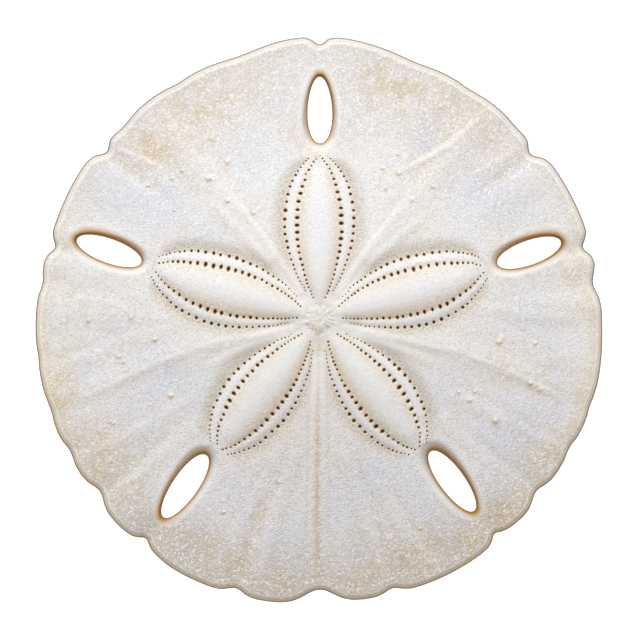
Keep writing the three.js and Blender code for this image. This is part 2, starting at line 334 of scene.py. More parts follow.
def scattered_bumps():
    """The named bumps and the crumbs beside them, small ones in the rough patches and strewn thinly
    elsewhere, the beaded lines, and the grains of the crown's button."""
    small = []
    for x, y, spread, count in [*ROUGH_PATCHES, (0, 0, 24, 420)]:
        tallest = 0.22 if spread < 10 else 0.12
        for _ in range(count):
            at = (rng.normal(x, spread * 0.6), rng.normal(y, spread * 0.6))
            small.append((*at, rng.uniform(0.16, 0.3), rng.uniform(0.05, tallest)))
    small = np.array(small)
    away = np.hypot(small[:, 0], small[:, 1])
    named = np.array(BUMPS) * (1, 1, 0.62, 0.75)
    crumbs = np.repeat(named, 4, axis=0)
    crumbs[:, :2] += rng.normal(0, 0.85, (len(crumbs), 2)) * crumbs[:, 2:3] * 2
    crumbs[:, 2:] *= rng.uniform(0.35, 0.7, (len(crumbs), 2))
    size = rng.uniform((0.1, 0.03), (0.2, 0.08), (110, 2))
    crown = np.column_stack([rng.normal((-0.1, 0.2), 0.95, (110, 2)), size])
    strewn = small[(away > 27) & (away < 43)]
    return np.vstack([named, crumbs, strewn, *(beads(line) for line in BEADED), crown])


def beads(line):
    """Small beads in an uneven row along a line."""
    points = curve(line, 400)
    walked = np.concatenate([[0], np.cumsum(np.hypot(*np.diff(points, axis=0).T))])
    at = np.cumsum(rng.uniform(0.45, 1.1, int(walked[-1] / 0.8)))
    row = np.column_stack([np.interp(at, walked, points[:, 0]), np.interp(at, walked, points[:, 1])])
    row += rng.normal(0, 0.1, row.shape)
    return np.column_stack([row, rng.uniform(0.18, 0.3, len(row)), rng.uniform(0.08, 0.2, len(row))])


def add_bumps(height, xy, bumps):
    """Adds rounded bumps, each given as (x, y, half width, height)."""
    for x, y, wide, tall in bumps:
        near = np.flatnonzero(np.all(np.abs(xy - (x, y)) < 3 * wide, axis=1))
        height[near] += tall * bell(np.hypot(*(xy[near] - (x, y)).T) / wide)


def along_line(points, xy):
    """Distance of each point from a smooth line, and how far along it that is, as a share."""
    line = curve(points, 24)
    start, step = line[:-1], np.diff(line, axis=0)
    offset = xy[:, None] - start[None]
    t = np.clip(np.sum(offset * step, axis=2) / np.sum(step**2, axis=1), 0, 1)
    gap = np.hypot(*np.moveaxis(offset - t[..., None] * step, 2, 0))
    nearest = gap.argmin(axis=1)
    rows = np.arange(len(xy))
    return gap[rows, nearest], (nearest + t[rows, nearest]) / len(step)


def ridge_relief(xy):
    """Height of the ridges, and how much a point gets painted highlight on a narrow one's back and
    painted shade at its foot.
    """
    height, ridge_highlight, painted_foot_shade = np.zeros((3, len(xy)))
    for points, wide, tall in RIDGES:
        line = np.array(points)
        near = np.flatnonzero(np.all((xy > line.min(0) - 4) & (xy < line.max(0) + 4), axis=1))
        gap, share = along_line(points, xy[near])
        fade = ramp(share, 0, 0.05) * (1 - ramp(share, 0.7, 1))
        height[near] += tall * fade * bell(gap / wide)
        strength = fade * min(1, 0.5 / wide)
        ridge_highlight[near] = np.maximum(ridge_highlight[near], strength * bell(gap / (0.8 * wide)))
        painted_foot_shade[near] = np.maximum(painted_foot_shade[near], strength * bell((gap - 1.7 * wide) / (0.6 * wide)))
    return height, ridge_highlight, painted_foot_shade * (1 - ridge_highlight)


def petal_relief(petal, xy):
    """Height that a petal adds, and how much a point is in its border, in the painted shade of its
    sides and in its middle.
    """
    u, side = petal.local(xy)
    v = np.abs(side)
    inner, outer = petal.half_widths(u)
    fade = ramp(u, 1.7, 5) * (1 - ramp(u, petal.tip - 3, petal.tip + 0.6))
    wide = np.maximum(inner, 0.05)
    crown = 0.26 * inner * np.clip(1 - (v / wide) ** 2, 0, 1)
    from_rib = v - (inner + outer) / 2
    between = 0.09 * bell(from_rib / 0.5)
    rows = 0.07 * bell((v - inner - 0.05) / 0.35) + 0.07 * bell((v - outer) / 0.35)
    moat = 0.42 * bell((v - outer - 0.4) / 1.2)
    spread = 2.6 * ramp(u, 4, 13)
    border = ramp(v, outer - 0.3, outer + 0.3) * (1 - ramp(v, outer + 0.2, outer + 0.4 + spread))
    border *= ramp(u, 5, 12) * (1 - ramp(u, petal.tip - 1, petal.tip + 1))
    rearward = ramp(-side * petal.across[1], -1, 1)
    # Painted shade along the inner rows, on both sides of them and stronger on the rear side.
    flank = np.where(v < inner, bell((inner - v) / (0.42 * inner + 0.1)), bell((v - inner) / 0.35))
    side_shade = ramp(u, 2.6, 6) * (1 - ramp(u, petal.tip - 2, petal.tip)) * (0.6 + 0.4 * rearward) * flank
    middle = ramp(u, 3, 9) * (1 - ramp(u, petal.tip - 4, petal.tip))
    middle *= np.maximum(1 - ramp(v, 0.2 * wide, 0.95 * wide), 0.8 * bell(from_rib / 0.32))
    relief = fade * (crown + between - rows - moat)
    shown = (u > 1.6) & (u < petal.tip + 1)
    return [np.where(shown, x, 0) for x in (relief, border, side_shade, middle)]


def crown_relief(xy):
    """The small ragged button at the crown, with short rays round it."""
    x, y = xy[:, 0] + 0.1, xy[:, 1] - 0.2
    away, turn = np.hypot(x, y), np.arctan2(y, x)
    edge = 1.9 + 0.2 * np.cos(5 * (turn + math.pi / 2)) + 0.12 * np.sin(11 * turn + 1)
    rays = 0.05 * np.cos(17 * turn + 2 * np.sin(3 * turn)) * bell((away - edge - 0.3) / 0.9)
    moat = 0.06 * bell((away - edge - 0.4) / 0.4)
    return 0.2 * (1 - ramp(away, edge - 0.6, edge + 0.3)) - moat + rays


def margin_radius(turn):
    """Radius of the margin in the direction turn, in radians."""
    angles = np.arctan2(margin[:, 1], margin[:, 0])
    order = np.argsort(angles)
    return np.interp(turn, angles[order], np.hypot(*margin[order].T), period=2 * math.pi)


def top_height(xy, edge, walls):
    """Height of the petal side. edge and walls are the distances to the margin and the slots."""
    away = np.hypot(xy[:, 0], xy[:, 1])
    turn = np.arctan2(xy[:, 1], xy[:, 0])
    share = np.minimum(1, away / DOME_REACH)
    height = EDGE_THICKNESS + (CROWN_HEIGHT - EDGE_THICKNESS) * np.cos(math.pi / 2 * share) ** 1.5
    for petal in petals:
        height += petal_relief(petal, xy)[0]
    height += crown_relief(xy)
    height += ridge_relief(xy)[0]
    outward = ramp(away, 24, 42)
    height -= DENT_SINK * outward * (MEAN_RADIUS - margin_radius(turn))
    for waves, size in ((13, 0.07), (23, 0.045), (37, 0.03), (61, 0.015)):
        height += size * outward * np.sin(waves * turn + 0.9 * np.sin(away / 6 + waves))
    add_bumps(height, xy, bumps)
    height += 0.08 * bell((edge - 1) / 0.4) + 0.1 * bell((walls - 1.2) / 0.5)
    rounded = np.clip(edge / EDGE_ROUNDING, 0, 1)
    height = WIDEST_HEIGHT + (height - WIDEST_HEIGHT) * np.sqrt(1 - (1 - rounded) ** 2)
    wall_height = WIDEST_HEIGHT + np.sqrt(np.where(walls < 6, walls, 99) / WALL_FLARE)
    return soft_min(soft_min(height, wall_height, 0.22), cad_bounds[1].z / MM - 0.02, 0.02)


# --- Relief of the mouth side ----------------------------------------------------------------------

MOUTH = (0, 0.6)
MOUTH_RINGS = (1.7, 1.95, 2.2, 2.5)  # radii of its wall, from the floor to the rim
VENT = (0, -9.2)
VENT_OVAL = (0.85, 1.2)  # half widths along X and Y


def food_grooves():
    """Lines of the branching grooves that lead to the mouth, five main ones and their branches."""
    lines = []
    for direction, *_ in PETALS:
        turn = math.radians(direction)
        along, across = (math.cos(turn), math.sin(turn)), (-math.sin(turn), math.cos(turn))

        def line(*points):
            lines.append([tuple(u * a + v * c for a, c in zip(along, across)) for u, v in points])

        line((2.4, 0), (6, 0.1), (9.5, 0))
        for side in (-1, 1):
            line((9.5, 0), (16, 2.2 * side), (24, 5.2 * side), (33, 7.4 * side), (40.5, 8.6 * side))
            line((22, 4.5 * side), (28, 8.6 * side), (34, 12.6 * side), (38, 15.5 * side))
            line((29, 6.6 * side), (35, 10 * side), (39, 11.9 * side))
            line((27, 5.9 * side), (34, 4.6 * side), (40.5, 4.2 * side))
            line((16, 2.2 * side), (22, 7.4 * side), (28, 12.5 * side))
    return lines


def from_mouth(xy):
    return np.hypot(*(xy - MOUTH).T)


def from_vent(xy):
    """Distance from the middle of the oval vent, as a share of its radius."""
    return np.hypot(*((xy - VENT) / VENT_OVAL).T)


def base_height(xy, edge, walls):
    """Height of the mouth side above the resting plane."""
    away = np.hypot(xy[:, 0], xy[:, 1])
    height = 0.5 * np.clip(1 - (away / 24) ** 2, 0, 1) ** 2
    for points in food_grooves():
        line = np.array(points)
        near = np.flatnonzero(np.all((xy > line.min(0) - 2) & (xy < line.max(0) + 2), axis=1))
        gap, share = along_line(points, xy[near])
        groove = 0.22 * bell(gap / 0.45) * (1 - 0.6 * share)
        height[near] = np.maximum(height[near], groove + 0.5 * height[near])
    height += np.abs(rng.normal(0, 0.03, len(xy)))
    height += 2.3 * (1 - ramp(from_mouth(xy), 1.75, MOUTH_RINGS[-1]))
    height += 1.2 * (1 - ramp(from_vent(xy), 0.7, 1.1))
    rounded = np.clip(edge / BASE_ROUNDING, 0, 1)
    height += (WIDEST_HEIGHT - height) * (1 - np.sqrt(1 - (1 - rounded) ** 2))
    rounded = np.clip(walls / 0.5, 0, 1)
    return height + (WIDEST_HEIGHT - height) * (1 - np.sqrt(1 - (1 - rounded) ** 2))


# --- The mesh --------------------------------------------------------------------------------------

# Spacing of the points, and how far the grid keeps from the margin and the slots
FIELD_SPACING, PETAL_SPACING, BUTTON_SPACING, BASE_SPACING = 0.4, 0.26, 0.15, 0.66
EDGE_GAP, WALL_GAP = 1.5, 1.75
BASE_EDGE_GAP, BASE_WALL_GAP = 1.0, 0.6
BUTTON_REACH = 2.4
# Distances of the lines of points beside the margin and the slots, above and on the mouth side
EDGE_STEPS = (0.04, 0.12, 0.25, 0.45, 0.7, 1.0, 1.35)
WALL_STEPS = (0.03, 0.09, 0.19, 0.33, 0.52, 0.77, 1.1, 1.5)
BASE_EDGE_STEPS = (0.05, 0.15, 0.3, 0.5, 0.8)
BASE_WALL_STEPS = (0.04, 0.12, 0.24, 0.4)
# Rings of points round each pore and each larger bump, as shares of its radius
PORE_SIDES, PORE_RINGS, PORE_CLEAR = 8, (0.62, 1.0, 1.5), 1.75
BUMP_SIDES, BUMP_RINGS, BUMP_CLEAR = 9, (0.4, 0.8, 1.2, 1.7), 1.9
MOUTH_SIDES, VENT_RINGS = 28, (0.65, 0.85, 1.05)
# Depth of a pore of standard radius at its middle, at its rings and past them
STANDARD_PORE = 0.3
PORE_DEPTHS = (0.42, 0.3, 0.02, -0.03, 0)
PAST_PORE = 2.0  # the share given to every point that isn't on a pore
ROUGHNESS = 0.0045  # of the petal side, up and down


def beside(loop, steps, inward):
    """Points at each of steps from a closed line, on its inner or outer side."""
    heading = np.roll(loop, -1, axis=0) - np.roll(loop, 1, axis=0)
    heading /= np.linalg.norm(heading, axis=1)[:, None]
    normal = np.stack([-heading[:, 1], heading[:, 0]], axis=1) * (1 if inward else -1)
    found = []
    for i, step in enumerate(steps):
        points = (loop + np.roll(loop, -1, axis=0)) / 2 if i % 2 else loop
        moved = points + normal * step
        found.append(moved[distance_to(loop, moved, 3) > 0.93 * step])
    return np.vstack(found)


def grid(spacing, low, high):
    """A jittered triangular grid over a box."""
    rows = np.arange(low[1], high[1], spacing * math.sqrt(3) / 2)
    columns = np.arange(low[0], high[0], spacing)
    x, y = np.meshgrid(columns, rows)
    x[1::2] += spacing / 2
    points = np.stack([x.ravel(), y.ravel()], axis=1)
    return points + rng.uniform(-0.22, 0.22, points.shape) * spacing


def is_detailed(xy):
    """Whether points are where the grid has to be fine, in the petals and at the crown."""
    found = np.hypot(xy[:, 0], xy[:, 1]) < 4.5
    for petal in petals:
        u, v = petal.local(xy)
        outer = petal.half_widths(u)[1]
        found |= (u > 2) & (u < petal.tip + 0.8) & (np.abs(v) < outer + 1)
    return found


def field_points(spacing, edge_gap, wall_gap):
    """Grid points on the shell that keep clear of the points beside the margin and the slots."""
    points = grid(spacing, margin.min(0), margin.max(0))
    points = points[inside(margin, points)]
    points = points[distance_to(margin, points, edge_gap) >= edge_gap]
    for slot in slots:
        near = distance_to(slot, points, wall_gap) < wall_gap
        points = points[~(near | inside(slot, points))]
    return points


def pore_rings(pores):
    """Points round each pore, each with the distance from its centre as a share of its radius."""
    turn = np.arange(PORE_SIDES) * 2 * math.pi / PORE_SIDES
    rings, shares = [pores[:, :2]], [np.zeros(len(pores))]
    for i, share in enumerate(PORE_RINGS):
        shifted = turn + (i % 2) * math.pi / PORE_SIDES
        x = pores[:, 2, None] * share * np.cos(shifted)
        y = pores[:, 3, None] * share * np.sin(shifted)
        cos, sin = np.cos(pores[:, 4, None]), np.sin(pores[:, 4, None])
        ring = np.stack([x * cos - y * sin, x * sin + y * cos], axis=2) + pores[:, None, :2]
        rings.append(ring.reshape(-1, 2))
        shares.append(np.full(len(pores) * PORE_SIDES, share))
    return np.vstack(rings), np.concatenate(shares)


def bump_rings(named):
    """Points on and round each of the larger bumps."""
    rings = [named[:, :2]]
    for i, share in enumerate(BUMP_RINGS):
        turn = (np.arange(BUMP_SIDES) + i % 2 / 2) * 2 * math.pi / BUMP_SIDES
        ring = np.stack([np.cos(turn), np.sin(turn)], axis=1) * share
        rings.append((named[:, None, :2] + ring[None] * named[:, 2, None, None]).reshape(-1, 2))
    return np.vstack(rings)


def triangulate(points, count_fixed):
    """Triangles between points. The first count_fixed points are the margin and the slots."""
    edges, start = [], 0
    for loop in (margin, *slots):
        size = len(loop)
        edges += [(start + i, start + (i + 1) % size) for i in range(size)]
        start += size
    assert start == count_fixed
    _, _, made, origins, *_ = delaunay_2d_cdt([Vector(p) for p in points], edges, [], 0, 1e-7)
    first = [origin[0] for origin in origins]
    faces = np.array([[first[i] for i in face] for face in made])
    on_line = np.all(faces < count_fixed, axis=1)
    middles = points[faces[on_line]].mean(axis=1)
    outside = ~inside(margin, middles)
    for slot in slots:
        outside |= inside(slot, middles)
    keep = np.ones(len(faces), bool)
    keep[np.flatnonzero(on_line)[outside]] = False
    faces = faces[keep]
    a, b, c = (points[faces[:, i]] for i in range(3))
    upward = np.cross(b - a, c - a) > 0
    faces[~upward] = faces[~upward][:, ::-1]
    return faces


fixed = np.vstack([margin, *slots])
bumps = scattered_bumps()

# Pores as (x, y, radius across the row, radius along it, direction across the row)
pores = []
for petal in petals:
    found = petal.pores()
    heading = math.atan2(petal.across[1], petal.across[0])
    pores.append(np.column_stack([found, np.full(len(found), heading)]))
pores = np.vstack(pores)
ring_points, ring_shares = pore_rings(pores)

coarse = field_points(FIELD_SPACING, EDGE_GAP, WALL_GAP)
fine = field_points(PETAL_SPACING, EDGE_GAP, WALL_GAP)
fine = fine[is_detailed(fine) & (np.hypot(*fine.T) > BUTTON_REACH)]
button = grid(BUTTON_SPACING, (-BUTTON_REACH, -BUTTON_REACH), (BUTTON_REACH, BUTTON_REACH))
button = button[np.hypot(*button.T) < BUTTON_REACH - 0.1]
field = np.vstack([coarse[~is_detailed(coarse)], fine, button])
for x, y, wide, *_ in pores:
    field = field[np.hypot(field[:, 0] - x, field[:, 1] - y) > PORE_CLEAR * wide]
named_bumps = bumps[:len(BUMPS)]
for x, y, wide, _ in named_bumps:
    field = field[np.hypot(field[:, 0] - x, field[:, 1] - y) > BUMP_CLEAR * wide]
field = np.vstack([field, bump_rings(named_bumps)])
top = np.vstack([
    fixed,
    beside(margin, EDGE_STEPS, True),
    *(beside(slot, WALL_STEPS, False) for slot in slots),
    ring_points,
    field,
])
top_faces = triangulate(top, len(fixed))

base_grid = field_points(BASE_SPACING, BASE_EDGE_GAP, BASE_WALL_GAP)
turn = np.arange(MOUTH_SIDES) * 2 * math.pi / MOUTH_SIDES
circle = np.stack([np.cos(turn), np.sin(turn)], axis=1)
wells = [MOUTH + circle * radius for radius in MOUTH_RINGS]
wells += [VENT + circle[::2] * np.multiply(VENT_OVAL, share) for share in VENT_RINGS]
base_grid = base_grid[from_mouth(base_grid) > 1.5]
mouth_floor = grid(0.5, np.subtract(MOUTH, 1), np.add(MOUTH, 1))
base_grid = np.vstack([base_grid, *wells, mouth_floor])
base = np.vstack([
    fixed,
    beside(margin, BASE_EDGE_STEPS, True),
    *(beside(slot, BASE_WALL_STEPS, False) for slot in slots),
    base_grid,
])
base_faces = triangulate(base, len(fixed))[:, ::-1]


def clearances(points):
    """Distance of each point to the margin and to the nearest slot."""
    return distance_to(margin, points, 8), np.min([distance_to(s, points, 8) for s in slots], axis=0)


edge, walls = clearances(top)
height = top_height(top, edge, walls)
height += rng.normal(0, ROUGHNESS, len(top)) * ramp(edge, 0.6, 1.2) * ramp(walls, 0.6, 1.2)
is_ring = np.zeros(len(top), bool)
ring_start = len(top) - len(field) - len(ring_points)
is_ring[ring_start:ring_start + len(ring_points)] = True
pore_share = np.full(len(top), PAST_PORE)
pore_share[is_ring] = ring_shares
depth = np.interp(pore_share, [0, *PORE_RINGS, PAST_PORE], PORE_DEPTHS)
pore_size = np.concatenate([pores[:, 2], *(np.repeat(pores[:, 2], PORE_SIDES) for _ in PORE_RINGS)])
height[is_ring] -= depth[is_ring] * pore_size / STANDARD_PORE

base_edge, base_walls = clearances(base[len(fixed):])
base_z = base_height(base[len(fixed):], base_edge, base_walls)

points = np.vstack([
    np.column_stack([top, height]),
    np.column_stack([base[len(fixed):], base_z]),
])
points[:len(fixed), 2] = WIDEST_HEIGHT
shift = len(top) - len(fixed)
base_faces = np.where(base_faces < len(fixed), base_faces, base_faces + shift)
faces = np.vstack([top_faces, base_faces])

mesh = bpy.data.meshes.new("sand_dollar")
mesh.vertices.add(len(points))
mesh.vertices.foreach_set("co", (points * MM).astype(np.float32).ravel())
mesh.loops.add(faces.size)
mesh.loops.foreach_set("vertex_index", faces.astype(np.int32).ravel())
mesh.polygons.add(len(faces))
mesh.polygons.foreach_set("loop_start", np.arange(0, faces.size, 3, dtype=np.int32))
mesh.polygons.foreach_set("loop_total", np.full(len(faces), 3, np.int32))
mesh.update(calc_edges=True)
mesh.validate()
mesh.shade_smooth()
shell = bpy.data.objects.new("sand_dollar", mesh)
bpy.context.scene.collection.objects.link(shell)


# --- Stains, painted light and painted shade, as one number for each vertex ------------------------

# Patches as (x, y, half width, strength)
TAN_PATCHES = [
    (-26, 28, 4, 0.9), (-28.5, 26, 2.5, 0.5), (-15, 35, 4.5, 0.7), (-21, 33, 4, 0.7),
    (-33, 30, 2.5, 0.5), (10, 37.5, 4.5, 0.9), (15, 35, 4, 0.7), (22, 34, 4.5, 0.42),
    (28, 29, 3.5, 0.3), (14, 21.5, 3, 0.35), (-8, 39, 3.5, 0.35), (-34, -21.5, 3.2, 0.8),
    (36, -22, 3.5, 0.7), (15.8, -37.3, 3.2, 1), (10, -38, 3, 0.6), (-40.5, -11.5, 2.6, 0.9),
    (-42, -5, 3.5, 0.55), (-36, 1, 3, 0.2), (-40, 5, 4, 0.3), (39.5, 8, 3, 0.6), (42, 2, 3, 0.5),
    (-6, -42, 3, 0.5), (6, -42, 3, 0.5), (-29, 0, 2.5, 0.2), (29, -7.5, 3.5, 0.4),
    (-16, -38, 5, 0.6), (-9.5, -31, 1.3, 0.5), (8.5, -33, 1.8, 0.4), (41, -12, 3, 0.5),
    (-29, -26, 3, 0.5), (30, -31, 4, 0.8), (-24, -33.5, 3, 0.5), (35, -8.5, 2, 0.4),
    (-38, -18, 3, 0.5), (-12, -22.5, 2, 0.3), (19, 25, 2.5, 0.3), (-19, 24, 3, 0.25),
    (24, -36, 3, 0.75), (30, 10, 4, 0.3), (14, -33, 3, 0.3), (5.5, -33.8, 0.9, 1),
    (12.8, -34, 1, 0.9), (13.5, -36.5, 1, 0.8), (-9.3, -30.5, 0.9, 1), (-8.8, -28.8, 0.7, 0.8),
    (-33.5, -19.5, 1.5, 0.7), (-35, -23, 1.3, 0.8), (-41.5, -12.5, 1.2, 0.9),
    (15.8, -38.3, 1.6, 0.8), (-11.3, -36, 1, 0.7), (37, -21.5, 1.2, 0.8), (-26, 28.5, 1.3, 0.6),
    (2, 30, 4, 0.3), (-4, 29, 3, 0.25),
]
COOL_PATCHES = [
    (-24, 18.5, 5, 0.8), (-32, 20, 4.5, 0.55), (-17, 13.5, 3, 0.5), (-10.5, 26, 4, 0.5),
    (17, 29, 3, 0.9), (25, 20.5, 5, 0.8), (31, 17, 4, 0.5), (-33, -2, 3.5, 0.6), (-37, -7, 3, 0.6),
    (-26, -7, 4, 0.9), (-22, -11.5, 4.5, 0.7), (-29, -15, 4, 0.6), (28, -18.5, 4.5, 0.9),
    (33, -16, 3.5, 0.8), (22, -12, 4, 0.5), (37, -8.5, 3, 0.6), (38, -13.5, 2.5, 0.5),
    (32, 1, 4, 0.5), (36, -1, 3, 0.4), (-12, -28, 3.5, 0.9), (-6, -35, 3.5, 0.9),
    (4.5, -29, 3.5, 0.8), (7, -36, 3, 0.7), (11, -26, 4, 0.7), (17, -31, 3.5, 0.6),
    (-18, -33, 3, 0.5), (22, -37, 3, 0.4), (-27, -20, 3.5, 0.7), (13, 10, 2.5, 0.3),
    (7, -24, 3, 0.5), (-5, -24, 3, 0.5), (29, -25, 3.5, 0.7), (-6, 34, 3, 0.3), (6, 29, 2.5, 0.3),
]


def patches(xy, blobs):
    """Strength at each point of soft round patches, at most 1."""
    total = np.zeros(len(xy))
    for x, y, wide, strength in blobs:
        total += strength * bell(np.hypot(xy[:, 0] - x, xy[:, 1] - y) / wide)
    return np.minimum(total, 1)


def slot_stain_and_shade(xy):
    """Brown stain of the slots' walls, widened by painted shade on their front side and at their outer
    end.
    """
    stain_and_shade = np.zeros(len(xy))
    for slot in slots:
        near = np.flatnonzero(distance_to(slot, xy, 3) < 3)
        offset = xy[near][:, None] - slot[None]
        gap = np.hypot(offset[..., 0], offset[..., 1])
        nearest = gap.argmin(axis=1)
        rows = np.arange(len(near))
        gap = gap[rows, nearest]
        facing = offset[rows, nearest] / np.maximum(gap, 0.02)[:, None]
        outward = np.sum(facing * slot.mean(0), axis=1) / np.hypot(*slot.mean(0))
        front = np.clip(np.maximum(facing[:, 1], outward), 0, 1)
        front[gap < 0.02] = 0.3
        stain_and_shade[near] = np.clip(1 - gap / (0.75 + 1.05 * front**2), 0, 1)
    return stain_and_shade


def bump_tops_and_shadows(xy):
    """The pale top of each bump, partly painted highlight, and painted shadow at the foot of the larger
    ones, strongest on their rear side.
    """
    pale_top_and_highlight, bump_shadow = np.zeros(len(xy)), np.zeros(len(xy))
    for i, (x, y, wide, tall) in enumerate(bumps):
        near = np.flatnonzero(np.all(np.abs(xy - (x, y)) < 4 * wide, axis=1))
        offset = xy[near] - (x, y)
        share = min(1, tall / 0.2)
        pale_top_and_highlight[near] = np.maximum(pale_top_and_highlight[near], share * bell(np.hypot(*offset.T) / (0.85 * wide)))
        if i < len(BUMPS):
            painted_foot_shade = bell((np.hypot(*(offset + (0.1, 0.35 * wide)).T) - wide) / (0.5 * wide))
            painted_foot_shade *= 0.3 + 0.7 * ramp(-offset[:, 1], -wide, wide)
            bump_shadow[near] = np.maximum(bump_shadow[near], painted_foot_shade)
    return pale_top_and_highlight, bump_shadow


def hollowness(height, faces, rounds):
    """How far each point lies below the smoothed surface around it."""
    a, b = faces.ravel(), np.roll(faces, 1, axis=1).ravel()
    count = np.bincount(a) + np.bincount(b)
    smooth = height
    for _ in range(rounds):
        smooth = (np.bincount(a, smooth[b]) + np.bincount(b, smooth[a])) / count
    return smooth - height


def attribute(name, values):
    mesh.attributes.new(name, "FLOAT", "POINT").data.foreach_set("value", values.astype(np.float32))


xy = points[:, :2]
is_top = np.arange(len(points)) < len(top)
away = np.hypot(*xy.T)
to_rear = -xy[:, 1]
from_edge, from_wall = np.concatenate([edge, base_edge]), np.concatenate([walls, base_walls])

halo, painted_petal_shade, middle = np.max([petal_relief(petal, xy)[1:] for petal in petals], axis=0) * is_top
attribute("pore", np.concatenate([pore_share, np.full(len(points) - len(top), PAST_PORE)]))
attribute("halo", halo)
attribute("painted_petal_shade", painted_petal_shade)
attribute("middle", middle)
# Painted highlight on the narrow ridges' backs and painted shade at their feet.
_, ridge_highlight, painted_foot_shade = ridge_relief(xy)
attribute("ridge_highlight", ridge_highlight * is_top)
attribute("painted_foot_shade", painted_foot_shade * is_top)
# Pale bump tops, partly painted highlight, and painted shadow at the larger bumps' rear feet.
pale_top_and_highlight, bump_shadow = bump_tops_and_shadows(xy)
attribute("pale_top_and_highlight", pale_top_and_highlight * is_top)
attribute("bump_shadow", bump_shadow * is_top)
# Painted shade: tan in the hollows, by how far each point lies below its smoothed surroundings.
painted_hollow_shade = np.zeros(len(points))
painted_hollow_shade[:len(top)] = hollowness(height, top_faces, 14) * ramp(edge, 1, 3) * ramp(walls, 1.5, 3.5)
attribute("painted_hollow_shade", painted_hollow_shade)

from_crown = 0.5 + 0.5 * ramp(away, 8, 24) + 0.5 * (1 - ramp(away, 1.6, 2.6))
attribute("grain", (1 - 0.2 * middle) * from_crown * (1 + 0.2 * ramp(to_rear, 8, 26)))
# Painted shadow on the rear side of the crown's button, and fainter soil round the crown.
crown_shadow = 0.75 * bell(np.hypot(xy[:, 0] + 0.1, 0.8 * (xy[:, 1] + 1.9)) / 0.85)
attribute("crown_shadow_and_soil", np.maximum(crown_shadow, 0.3 * bell(away / 3.3)) * is_top)
seam = bell((xy[:, 0] + 0.3) / 0.42) * ramp(to_rear, 5, 26) * (1 - ramp(to_rear, 37, 43))
attribute("seam", seam * is_top)

# Painted shade: darker towards the rear margin, and less so over the front.
rear_dimmed = ramp(away, 33.5, 42.5) * ramp(to_rear, 8, 34)
front_dimmed = 0.43 * ramp(away, 22, 34) * ramp(-to_rear, 10, 34)
attribute("dimmed", rear_dimmed + front_dimmed)
# Painted light: a paler band across the rear of the dome.
attribute("pale", ramp(to_rear, 4, 16) * bell((away - 30) / 6) * is_top)
attribute("tan", patches(xy, TAN_PATCHES))
attribute("cool", patches(xy, COOL_PATCHES) * is_top * (1 - halo) * (1 - middle))
crusts = []
for x, y, spread, count in ROUGH_PATCHES:
    crusts.append((x, y, 0.9 * spread, min(0.45, 0.04 * count / spread)))
attribute("crust", patches(xy, crusts) * is_top)
rear = ramp(to_rear, -30, 40)
attribute("rear", rear)
# A tan band along the margin, wider and stronger towards the rear.
attribute("margin_tan", (0.6 + 0.4 * rear) * (1 - ramp(from_edge, 0.8, 2.8 + 1.6 * rear)))

attribute("rim", from_edge)
attribute("wall", from_wall)
attribute("lip", 1 - ramp(from_edge, 0.3, 0.9) * ramp(from_wall, 0.6, 1.3))
# Brown stain of the slots' walls with painted shade, widest on their front side and at their outer end.
attribute("slot", slot_stain_and_shade(xy))
# Where the blind mouth and vent get painted shade.
mouth_wall = ramp(from_mouth(xy), MOUTH_RINGS[0], MOUTH_RINGS[-1])
opening = 1 - np.minimum(mouth_wall, ramp(from_vent(xy), 0.65, 1.1))
attribute("opening", opening * ~is_top)

# --- Material --------------------------------------------------------------------------------------


class Shader:
    """A small helper to wire a material's nodes, which builds up its colour layer by layer."""

    def __init__(self, name):
        self.material = bpy.data.materials.new(name)
        self.material.use_nodes = True
        self.tree = self.material.node_tree
        self.tree.nodes.clear()
        self.colour = None

    def node(self, kind, inputs=(), **settings):
        made = self.tree.nodes.new(kind)
        for key, value in settings.items():
            setattr(made, key, value)
        for key, value in dict(inputs).items():
            if isinstance(value, bpy.types.NodeSocket):
                self.tree.links.new(value, made.inputs[key])
            else:
                made.inputs[key].default_value = value
        return made

    def math(self, operation, a, b=0.0, clamp=False):
        made = self.node("ShaderNodeMath", {0: a, 1: b}, operation=operation, use_clamp=clamp)
        return made.outputs[0]

    def vertex(self, name):
        return self.node("ShaderNodeAttribute", attribute_name=name).outputs["Fac"]

    def noise(self, where, scale, detail=2.0, roughness=0.5):
        made = self.node("ShaderNodeTexNoise", {"Vector": where, "Scale": scale, "Detail": detail,
                                                "Roughness": roughness})
        return made.outputs["Fac"]

    def remap(self, value, low, high, to_low=0.0, to_high=1.0):
        made = self.node("ShaderNodeMapRange", {"Value": value, "From Min": low, "From Max": high,
                                                "To Min": to_low, "To Max": to_high},
                         interpolation_type="SMOOTHSTEP")
        return made.outputs["Result"]

    def mix(self, share, a, b, blend="MIX"):
        made = self.node("ShaderNodeMix", data_type="RGBA", blend_type=blend)
        for socket, value in zip((made.inputs[0], made.inputs[6], made.inputs[7]), (share, a, b)):
            if isinstance(value, bpy.types.NodeSocket):
                self.tree.links.new(value, socket)
            else:
                socket.default_value = value
        return made.outputs[2]

    def cover(self, share, colour):
        """Lays a colour over what is there, by a share from 0 to 1."""
        self.colour = self.mix(share, self.colour, (*colour, 1))

    def tint(self, share, strength, colour):
        self.cover(self.math("MULTIPLY", share, strength), colour)


